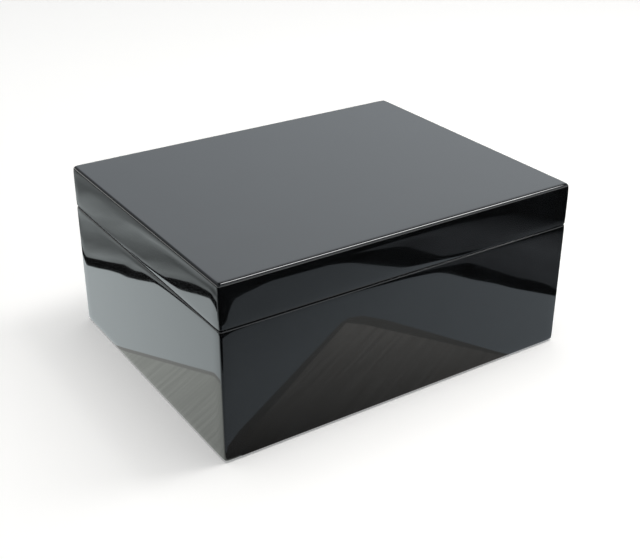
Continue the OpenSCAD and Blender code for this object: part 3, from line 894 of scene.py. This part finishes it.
@dataclass
class FeltFoot:
    """The sheet of felt glued under the base, so that it doesn't scratch a table."""

    step: float = 3 * MM
    corner: float = 3 * MM
    tuft: float = 0.12 * MM
    tuft_every: float = 4 * MM
    edge: float = 0.3 * MM

    def build(self) -> None:
        """Makes the felt as a thin uneven sheet with soft edges, in place of its CAD solid."""
        low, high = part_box("felt_base_pad")
        build = bmesh.new()
        under, over = (border(self.layer(build, low, high, top)) for top in (False, True))
        add_band(build, under, over)
        mesh = mesh_of(build, "felt_sheet")
        mesh.shade_smooth()
        felt = new_piece("felt_sheet", mesh, "base", FELT, ("felt_base_pad",))

    def layer(self, build: BMesh, low: Vector, high: Vector, top: bool) -> list[list[BMVert]]:
        """Adds the upper or the under face of the sheet.

        Args:
            build: The bmesh that gets it.
            low: The sheet's lowest corner.
            high: Its highest corner.
            top: Whether it is the upper face, which lies flat against the box.

        Returns:
            The face's points, in rows from front to back.
        """
        columns = round((high.x - low.x) / self.step)
        rows = round((high.y - low.y) / self.step)
        grid = []
        for j in range(rows + 1):
            line = []
            for i in range(columns + 1):
                square_x = low.x + (high.x - low.x) * i / columns
                square_y = low.y + (high.y - low.y) * j / rows
                x, y = self.round_off(square_x, square_y, high)
                thin = self.edge if i in (0, columns) or j in (0, rows) else 0.0
                lift = self.tuft * (0.5 + 0.5 * noise.noise(Vector((x, y, 0)) / self.tuft_every))
                z = high.z - thin if top else low.z + lift + thin
                line.append(build.verts.new((x, y, z)))
            grid.append(line)
        for near, far in zip(grid, grid[1:]):
            for i in range(columns):
                build.faces.new((near[i], near[i + 1], far[i + 1], far[i]))
        return grid

    def round_off(self, x: float, y: float, high: Vector) -> Pair:
        """Pulls a point of the sheet's corner on to the corner's arc.

        Args:
            x: The point's place along X.
            y: The point's place along Y.
            high: The sheet's far corner, about the origin.

        Returns:
            The point's new place.
        """
        dx, dy = abs(x) - high.x + self.corner, abs(y) - high.y + self.corner
        if dx <= 0 or dy <= 0:
            return x, y
        shrink = max(dx, dy) / math.hypot(dx, dy)
        return (
            math.copysign(high.x - self.corner + dx * shrink, x),
            math.copysign(high.y - self.corner + dy * shrink, y),
        )


# Cedar


@dataclass
class CedarBoards:
    """Boards of bare cedar, sorted by the way that their grain runs."""

    eased: float
    along_x: tuple[str, ...]
    along_y: tuple[str, ...]

    def dress(self) -> None:
        """Gives every board its grain and breaks its edges."""
        for nodes, finish in ((self.along_x, CEDAR_X), (self.along_y, CEDAR_Y)):
            for node in nodes:
                ease(wear(node, finish), self.eased)


@dataclass
class CedarLining(CedarBoards):
    """The boards that line the base and the lid, with the rails that carry the tray."""

    eased: float = 0.3 * MM
    along_x: tuple[str, ...] = (
        "base_floor_liner", "base_front_liner", "base_back_liner", "tray_rail_front", "tray_rail_back",
        "lid_ceiling_liner", "lid_front_liner", "lid_back_liner",
    )
    along_y: tuple[str, ...] = ("base_left_liner", "base_right_liner", "lid_left_liner", "lid_right_liner")


@dataclass
class CigarTray(CedarBoards):
    """The sliding tray and the sliding divider."""

    eased: float = 0.5 * MM
    along_x: tuple[str, ...] = ("tray_front_wall", "tray_back_wall")
    along_y: tuple[str, ...] = ("tray_left_wall", "tray_right_wall", "tray_floor", "divider")


# Brass, plastic and instruments


@dataclass
class QuadrantHinges:
    """The two brass hinges in the back corners, with their pins, arms and screws."""

    sides: tuple[str, ...] = ("left", "right")
    screws: tuple[str, ...] = ("base_hinge_screws", "lid_hinge_screws")

    def dress(self) -> None:
        """Gives the hinges' pieces their metals."""
        for side in self.sides:
            for node in ("base_hinge_leaf", "lid_hinge_leaf", "quadrant_arm"):
                wear(f"{node}_{side}", BRASS)
            wear(f"hinge_pin_{side}", PIN_STEEL)
        for node in self.screws:
            wear(node, BRASS)


@dataclass
class Humidifier:
    """The slotted case under the lid that holds a block of wet foam."""

    eased: float = 0.4 * MM
    step: float = 1.2 * MM
    # The cells' depth and sizes, and how much of the depth an even face would have.
    pit: float = 0.7 * MM
    cell: float = 1.6 * MM
    small_cell: float = 0.7 * MM
    small_share: float = 0.5
    even_share: float = 0.4

    def build(self) -> None:
        """Dresses the case, and makes the foam as a block whose face is open cells."""
        for node in ("humidifier_case", "humidifier_cover"):
            ease(wear(node, ABS), self.eased)
        wear("humidifier_magnets", NICKEL)
        wear("steel_mount_discs", ZINC)
        low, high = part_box("humidifier_foam")
        wide, deep = high.x - low.x, high.y - low.y
        centre = Matrix.Translation(((low.x + high.x) / 2, (low.y + high.y) / 2, low.z))
        columns, rows = round(wide / self.step), round(deep / self.step)
        placed = centre @ Matrix.Diagonal((wide, deep, 1, 1))
        build = bmesh.new()
        bmesh.ops.create_grid(build, x_segments=columns, y_segments=rows, size=0.5, matrix=placed)
        for vertex in build.verts:
            cell = noise.noise(vertex.co / self.cell)
            cell += self.small_share * noise.noise(vertex.co / self.small_cell)
            vertex.co.z += self.pit * min(max(self.even_share + cell, 0.0), 1.0)
        # The sides are added point by point, because extruding lists them in an order that changes.
        points = list(build.verts)
        rim = border([points[i:i + columns + 1] for i in range(0, len(points), columns + 1)])
        roof = [build.verts.new((*vertex.co.xy, high.z)) for vertex in rim]
        add_band(build, rim, roof)
        build.faces.new(roof)
        mesh = mesh_of(build, "foam_block")
        foam = new_piece("foam_block", mesh, "lid", FOAM, ("humidifier_foam",))


@dataclass
class Hygrometer:
    """The dial under the lid that shows the humidity of the air in the box, from 0 to 100."""

    finishes: tuple[tuple[str, Finish], ...] = (
        ("case", ABS), ("magnet", NICKEL), ("coil", BRASS), ("dial", ENAMEL), ("bezel", BRASS),
        ("lens", GLASS), ("needle", NEEDLE_PAINT),
    )
    full_scale: int = 100
    scale_angle: float = 240.0
    print_t: float = 0.03 * MM
    tick_out: float = 18.4 * MM
    tick_every: int = 2
    long_tick_every: int = 10
    tick_size: Pair = (1.6 * MM, 0.22 * MM)
    long_tick_size: Pair = (3.0 * MM, 0.5 * MM)
    number_every: int = 20
    number_r: float = 12.6 * MM
    number_size: float = 3.6 * MM
    sign_r: float = 9.0 * MM
    zone: tuple[int, int] = (65, 75)
    zone_r: Pair = (18.6 * MM, 19.2 * MM)

    def build(self) -> None:
        """Dresses the instrument, and prints its scale."""
        for part, finish in self.finishes:
            wear(f"hygrometer_{part}", finish)
        # Clear glass throws no shadow that shows on the dial.
        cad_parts["hygrometer_lens"].visible_shadow = False
        low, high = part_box("hygrometer_dial")
        # The dial faces down, and its top is towards the front of the box.
        centre = Matrix.Translation(((low.x + high.x) / 2, (low.y + high.y) / 2, low.z))
        face = centre @ Matrix.Rotation(math.pi, 4, "X")
        for name, add, ink in (
            ("dial_scale", self.add_scale, INK),
            ("dial_numbers", self.add_numbers, INK),
            ("dial_zone", self.add_zone, INK_GREEN),
        ):
            build = bmesh.new()
            add(build)
            bmesh.ops.transform(build, matrix=face, verts=build.verts)
            new_piece(name, mesh_of(build, name), "lid", ink)

    def angle(self, humidity: float) -> float:
        """The turn from the dial's top, clockwise, at which a humidity is shown."""
        return math.radians((humidity / self.full_scale - 0.5) * self.scale_angle)

    def stroke(self, build: BMesh, angles: list[float], inner: float, outer: float) -> None:
        """Adds a printed band that runs round the dial.

        Args:
            build: The bmesh that gets it.
            angles: The clockwise turns that it passes.
            inner: Its inner radius.
            outer: Its outer radius.
        """
        section = ((inner, 0), (outer, 0), (outer, self.print_t), (inner, self.print_t))
        rows = []
        for turn in angles:
            way = Vector((math.sin(turn), math.cos(turn), 0))
            corners = [way * radius + Vector((0, 0, height)) for radius, height in section]
            rows.append([build.verts.new(corner) for corner in corners])
        for start, end in zip(rows, rows[1:]):
            add_band(build, start, end)
        build.faces.new(rows[0])
        build.faces.new(rows[-1])

    def add_scale(self, build: BMesh) -> None:
        """Adds the scale's ticks.

        Args:
            build: The bmesh that gets them.
        """
        for humidity in range(0, self.full_scale + 1, self.tick_every):
            length, width = self.tick_size if humidity % self.long_tick_every else self.long_tick_size
            turn = self.angle(humidity)
            half = width / 2 / self.tick_out
            self.stroke(build, [turn - half, turn + half], self.tick_out - length, self.tick_out)

    def add_zone(self, build: BMesh) -> None:
        """Adds the arc that marks the humidity that cigars keep best at."""
        start, end = self.zone
        self.stroke(build, [self.angle(humidity) for humidity in range(start, end + 1)], *self.zone_r)

    def add_numbers(self, build: BMesh) -> None:
        """Adds the dial's numbers and the sign for per cent.

        Args:
            build: The bmesh that gets them.
        """
        shown = range(0, self.full_scale + 1, self.number_every)
        marks = [(str(humidity), self.angle(humidity), self.number_r) for humidity in shown]
        for mark, turn, radius in [*marks, ("%", math.pi, self.sign_r)]:
            text = bpy.data.curves.new("number", "FONT")
            text.body = mark
            text.size = self.number_size
            text.align_x = "CENTER"
            text.align_y = "CENTER"
            text.extrude = self.print_t / 2
            held = bpy.data.objects.new("number", text)
            printed = bpy.data.meshes.new_from_object(held)
            centre = Vector((math.sin(turn) * radius, math.cos(turn) * radius, self.print_t / 2))
            printed.transform(Matrix.Translation(centre))
            build.from_mesh(printed)
            bpy.data.objects.remove(held)
            bpy.data.curves.remove(text)
            bpy.data.meshes.remove(printed)


# Stage, light and camera


@dataclass(frozen=True)
class ReflectionCard:
    """A glowing floor sheet that only reflections see: it paints a reflection, as a studio's flag or
    reflector would.
    """

    name: str
    tint: str
    # Corners in pairs, as X and Y in millimetres and brightness: each pair makes a face with the next.
    corners_mm: tuple[Triple, ...]
    mottle: float = 0.0
    wander_mm: float = 0.0
    mottle_mm: float | Triple = 60.0
    mottle_turn_deg: float = 0.0
    wander_every_mm: float = 26.0
    cuts: int = 40

    def build(self, height: float) -> None:
        """Lays the card.

        Args:
            height: Its height above the floor.
        """
        build = bmesh.new()
        glow = build.verts.layers.float.new("glow")
        corners = []
        for x, y, bright in self.corners_mm:
            corner = build.verts.new((x * MM, y * MM, height))
            corner[glow] = bright
            corners.append(corner)
        for i in range(0, len(corners) - 2, 2):
            build.faces.new((corners[i], corners[i + 1], corners[i + 3], corners[i + 2]))
        if self.wander_mm:
            bmesh.ops.subdivide_edges(build, edges=build.edges, cuts=self.cuts, use_grid_fill=True)
        for corner in build.verts:
            corner.co.x += self.wander_mm * MM * noise.noise(corner.co / (self.wander_every_mm * MM))
        mesh = bpy.data.meshes.new(self.name)
        build.to_mesh(mesh)
        build.free()
        mesh.materials.append(new_material(self.name, self.shade))
        card = put_in_scene(self.name, mesh)
        card.visible_camera = False
        card.visible_diffuse = False
        card.visible_transmission = False
        card.visible_shadow = False

    def shade(self, tree: NodeTree) -> Node:
        """Adds the nodes: a painted reflection that glows evenly between the card's corners, clouded by the
        mottle.

        Args:
            tree: The material's node tree.

        Returns:
            The shader.
        """
        bright = add_node(tree, "ShaderNodeAttribute", attribute_name="glow").outputs["Fac"]
        cloud = Finish.pattern(tree, self.mottle_mm, self.mottle_turn_deg, Detail=3.0)
        dimming = {"Value": cloud, "From Min": 0.35, "From Max": 0.65, "To Min": 1 - self.mottle}
        dim = add_node(tree, "ShaderNodeMapRange", dimming).outputs[0]
        glow = add_node(tree, "ShaderNodeMath", {0: bright, 1: dim}, operation="MULTIPLY").outputs[0]
        return add_node(tree, "ShaderNodeEmission", {"Color": linear(self.tint), "Strength": glow})


def strips(start: Pair, end: Pair, across: Pair, lines: tuple[Pair, ...]) -> tuple[Triple, ...]:
    """Lists the corners of a card that changes its brightness from line to line.

    Args:
        start: Where a line starts, before it is moved, as X and Y in millimetres.
        end: Where it ends.
        across: The way that the lines are moved, along X and Y.
        lines: How far each line is moved, in millimetres, and its brightness.

    Returns:
        The corners in pairs, as X and Y in millimetres and brightness.
    """
    along_x, along_y = across
    return tuple(
        (x + moved * along_x, y + moved * along_y, bright) for moved, bright in lines for x, y in (start, end)
    )


# The size of the streaks that two of the cards paint into the reflections, along, across and up, and the way
# that they run.
STREAKS_MM = (90.0, 2.6, 60.0)
STREAK_TURN_DEG = -29.0
# How bright a black card is.
BLACK_GLOW = 0.008

# A glossy black box shows what it reflects, and these glowing cards paint its reflections. A bright card lies
# by its left side, a grey one in front of it, and dark ones further out all round, so that the sides that
# show part from each other.
REFLECTION_CARDS = (
    ReflectionCard("dark_card_back", "#f4f8fa", strips(
        (-900, 0), (900, 0), (0, 1), ((98, 0.55), (200, 0.42), (420, 0.06), (1200, 0.02)),
    )),
    ReflectionCard("dark_card_right", "#f4f8fa", strips(
        (0, -100), (0, 900), (1, 0), ((120, 0.55), (230, 0.42), (450, 0.06), (1200, 0.02)),
    )),
    ReflectionCard("black_card_front", "#ffffff", strips(
        (-900, 0), (1200, 0), (0, 1), ((-900, BLACK_GLOW), (-100, BLACK_GLOW)),
    )),
    ReflectionCard("dim_card_right", "#eef6ff", (
        (213, -100, 0.13), (110, -330, 0.11), (244, -100, 0.15), (132, -330, 0.13),
        (285, -100, 0.18), (155, -330, 0.16), (308, -100, 0.14), (178, -330, 0.13),
        (330, -100, 0.1), (200, -330, 0.09), (355, -100, 0.02), (225, -330, 0.02),
    ), 0.3, 3.0),
    ReflectionCard("grey_card_front", "#e7f3fc", (
        (-274, -100, 0.17), (206, -100, 0.47), (-282, -125, 0.17), (131, -220, 0.41),
        (20, -302, 0.24), (66, -295, 0.24),
    ), 0.0, 3.0),
    ReflectionCard("streaked_card_edge_front", "#f8f8f4", (
        (-152, -100, 0.08), (92, -100, 0.2), (19, -202, 0.26), (49, -187, 0.26),
        (28, -205, 0.26), (38, -202, 0.26),
    )),
    ReflectionCard("streaked_card_front", "#fdfbf6", (
        (-138, -100, 0.05), (89, -100, 0.26), (22, -200, 0.44), (32, -190, 0.44),
    ), 0.2, 0.0, STREAKS_MM, STREAK_TURN_DEG),
    ReflectionCard("black_card_left", "#ffffff", (
        (-317, -104, BLACK_GLOW), (-1000, -104, BLACK_GLOW), (-16, 450, BLACK_GLOW), (-700, 900, BLACK_GLOW),
    ), 0.0, 4.0),
    ReflectionCard("dim_card_left", "#eef7f8", strips(
        (0, -104), (301, 450), (1, 0), (
            (-332, 0.5), (-339, 0.6), (-355, 0.295), (-372, 0.34), (-390, 0.54),
            (-408, 0.67), (-428, 0.46), (-450, 0.33), (-520, 0.33), (-660, 0.05),
        ),
    ), 0.35, 6.0),
    ReflectionCard("white_card_left", "#f3fdff", (
        (-120, -104, 0.8), (-317, -104, 0.8), (-119, 260, 0.9), (-120, 260, 0.9),
    ), 0.0, 4.0),
    ReflectionCard("streaked_card_edge_left", "#fdfffb", (
        (-120, -104, 0.48), (-226, -104, 0.48), (-119, 73, 0.48), (-120, 73, 0.48),
    )),
    ReflectionCard("streaked_card_left", "#fafff8", (
        (-120, -104, 0.55), (-221, -104, 0.71), (-119, 66, 0.69), (-120, 66, 0.69),
    ), 0.15, 0.0, STREAKS_MM, STREAK_TURN_DEG),
)


@dataclass
class Studio:
    """A plain pale floor, soft light and the camera, none of which belong to the box."""

    floor_r: float = 3.0
    # Rings at these shares of the floor's radius keep the shade of the sweep off the flat floor.
    floor_rings: Pair = (0.9, 0.95)
    sweep_r: float = 1.0
    wall_h: float = 1.0
    floor_steps: int = 96
    sweep_steps: int = 24
    floor_gap: float = 0.1 * MM
    floor_colour: str = "#f8f6f3"
    lit_r: float = 0.3
    floor_lift: float = 0.27
    wall_lift: float = 0.62
    wall_fade: float = 0.35
    key_power: float = 6.0
    key_place: Triple = (0.65, -0.2, 1.22)
    key_size: Pair = (0.4, 0.78)
    top_power: float = 24.0
    top_place: Triple = (0.0, 0.0, 2.1)
    top_size: Pair = (1.6, 1.6)
    card_gap: float = 0.2 * MM
    card_step: float = 0.05 * MM
    # The sky changes this way, from the first of its tones to the last.
    sky_way: Triple = (0.35, 0.0, 0.94)
    sky_tones: tuple[tuple[float, str], ...] = (
        (0.0, "#73777a"), (0.3, "#a5aaad"), (0.467, "#b4babf"), (0.588, "#ccd2d7"),
        (0.68, "#a5aaad"), (0.8, "#5e6163"), (1.0, "#4b4e50"),
    )
    # Towards the left it is dim, up to the second of these places along X.
    sky_dim_x: Pair = (0.0, 0.3)
    sky_dim: float = 0.4
    eye: Triple = (-0.3645, -0.5590, 0.3898)
    looks: Triple = (0.4862, 0.74, -0.4647)
    roll_deg: float = 0.19
    focal_px: float = 1086.9
    image_w: int = 640
    sensor_mm: float = 36.0
    sight: Pair = (0.01, 100.0)

    def build(self) -> None:
        """Makes the floor, the cards that paint reflections, the light and the camera."""
        self.make_floor()
        # Glowing cards that paint reflections into the lacquer lie just above the floor, each a little above
        # the last.
        for number, card in enumerate(REFLECTION_CARDS):
            card.build(self.card_gap + number * self.card_step)
        self.make_sky()
        self.make_softbox("key_softbox", self.key_place, self.key_size, self.key_power)
        overhead = self.make_softbox("top_softbox", self.top_place, self.top_size, self.top_power)
        overhead.visible_glossy = False
        self.make_camera()

    def make_floor(self) -> None:
        """Makes the floor, which sweeps up into a low wall all round."""
        turns = [math.tau * step / self.floor_steps for step in range(self.floor_steps)]
        profile = [(self.floor_r * share, 0.0) for share in self.floor_rings]
        for step in range(self.sweep_steps + 1):
            bend = math.pi / 2 * step / self.sweep_steps
            away = self.floor_r + self.sweep_r * math.sin(bend)
            profile.append((away, self.sweep_r * (1 - math.cos(bend))))
        profile.append((self.floor_r + self.sweep_r, self.wall_h))
        build = bmesh.new()
        rings = [
            [build.verts.new((r * math.cos(turn), r * math.sin(turn), z - self.floor_gap)) for turn in turns]
            for r, z in profile
        ]
        build.faces.new(rings[0])
        for below, above in zip(rings, rings[1:]):
            add_band(build, below, above)
        floor = put_in_scene("floor", mesh_of(build, "floor"))
        floor.data.shade_smooth()
        floor.data.materials.append(new_material("studio_floor", self.shade_floor))

    def shade_floor(self, tree: NodeTree) -> Node:
        """Adds the nodes: a matt paint that looks whiter, straight or mirrored, than the light makes it.

        Args:
            tree: The material's node tree.

        Returns:
            The shader.
        """
        path = add_node(tree, "ShaderNodeLightPath").outputs
        seen = path["Is Camera Ray"]
        for kind in ("Is Glossy Ray", "Is Transmission Ray"):
            either = {0: seen, 1: path[kind]}
            seen = add_node(tree, "ShaderNodeMath", either, operation="MAXIMUM").outputs[0]
        place = add_node(tree, "ShaderNodeNewGeometry").outputs["Position"]
        away = add_node(tree, "ShaderNodeVectorMath", {0: place}, operation="LENGTH").outputs["Value"]
        rise = {
            "Value": away, "From Min": self.lit_r, "From Max": self.floor_r,
            "To Min": self.floor_lift, "To Max": self.wall_lift,
        }
        lift = add_node(tree, "ShaderNodeMapRange", rise).outputs[0]
        height = add_node(tree, "ShaderNodeSeparateXYZ", {0: place}).outputs["Z"]
        fade = {"Value": height, "From Max": self.wall_h, "To Min": 1.0, "To Max": self.wall_fade}
        lower = add_node(tree, "ShaderNodeMapRange", fade, interpolation_type="SMOOTHSTEP").outputs[0]
        lifted = add_node(tree, "ShaderNodeMath", {0: lift, 1: lower}, operation="MULTIPLY").outputs[0]
        shown = add_node(tree, "ShaderNodeMath", {0: seen, 1: lifted}, operation="MULTIPLY").outputs[0]
        matt = add_node(tree, "ShaderNodeBsdfDiffuse", {"Color": linear(self.floor_colour)})
        white = add_node(tree, "ShaderNodeEmission", {"Color": linear("#ffffff"), "Strength": shown})
        return add_node(tree, "ShaderNodeAddShader", {0: matt.outputs[0], 1: white.outputs[0]})

    def make_sky(self) -> None:
        """Makes the soft light that comes from all round, brightest from low on the right."""
        world = bpy.data.worlds.new("studio")
        world.use_nodes = True
        tree = world.node_tree
        tree.nodes.clear()
        way = add_node(tree, "ShaderNodeTexCoord").outputs["Generated"]
        height = add_node(tree, "ShaderNodeVectorMath", {0: way, 1: self.sky_way}, operation="DOT_PRODUCT")
        tone = add_node(tree, "ShaderNodeValToRGB", {"Fac": height.outputs["Value"]}, list(self.sky_tones))
        along = add_node(tree, "ShaderNodeSeparateXYZ", {0: way}).outputs["X"]
        dim_from, dim_to = self.sky_dim_x
        dim = {"Value": along, "From Min": dim_from, "From Max": dim_to, "To Min": self.sky_dim}
        strength = add_node(tree, "ShaderNodeMapRange", dim, interpolation_type="SMOOTHSTEP").outputs[0]
        light = add_node(tree, "ShaderNodeBackground", {"Color": tone.outputs[0], "Strength": strength})
        add_node(tree, "ShaderNodeOutputWorld", {"Surface": light.outputs[0]})
        bpy.context.scene.world = world

    def make_softbox(self, name: str, place: Triple, size: Pair, power: float) -> Object:
        """Makes a softbox that looks at the box.

        Args:
            name: The lamp's name.
            place: Where it stands.
            size: Its width and height.
            power: Its power in watts.

        Returns:
            The lamp.
        """
        lamp = bpy.data.lights.new(name, "AREA")
        lamp.shape = "RECTANGLE"
        lamp.size, lamp.size_y = size
        lamp.energy = power
        held = put_in_scene(name, lamp)
        held.location = place
        held.rotation_euler = (-Vector(place)).to_track_quat("-Z", "Y").to_euler()
        return held

    def make_camera(self) -> None:
        """Makes the camera at the photograph's viewing angle."""
        lens = bpy.data.cameras.new("camera")
        lens.sensor_width = self.sensor_mm
        lens.sensor_fit = "HORIZONTAL"
        lens.lens = self.focal_px * self.sensor_mm / self.image_w
        lens.clip_start, lens.clip_end = self.sight
        camera = put_in_scene("camera", lens)
        turned = Vector(self.looks).to_track_quat("-Z", "Y").to_matrix()
        rolled = turned @ Matrix.Rotation(math.radians(self.roll_deg), 3, "Z")
        camera.matrix_world = Matrix.Translation(self.eye) @ rolled.to_4x4()
        bpy.context.scene.camera = camera


def main() -> None:
    """Builds the stage and every sub-assembly."""
    logging.basicConfig(level=logging.INFO, format="%(name)s: %(message)s")
    bpy.context.scene.view_settings.view_transform = "Standard"
    Studio().build()
    LacqueredBox().build()
    FeltFoot().build()
    CedarLining().dress()
    CigarTray().dress()
    QuadrantHinges().dress()
    Humidifier().build()
    Hygrometer().build()


if __name__ == "__main__":
    main()
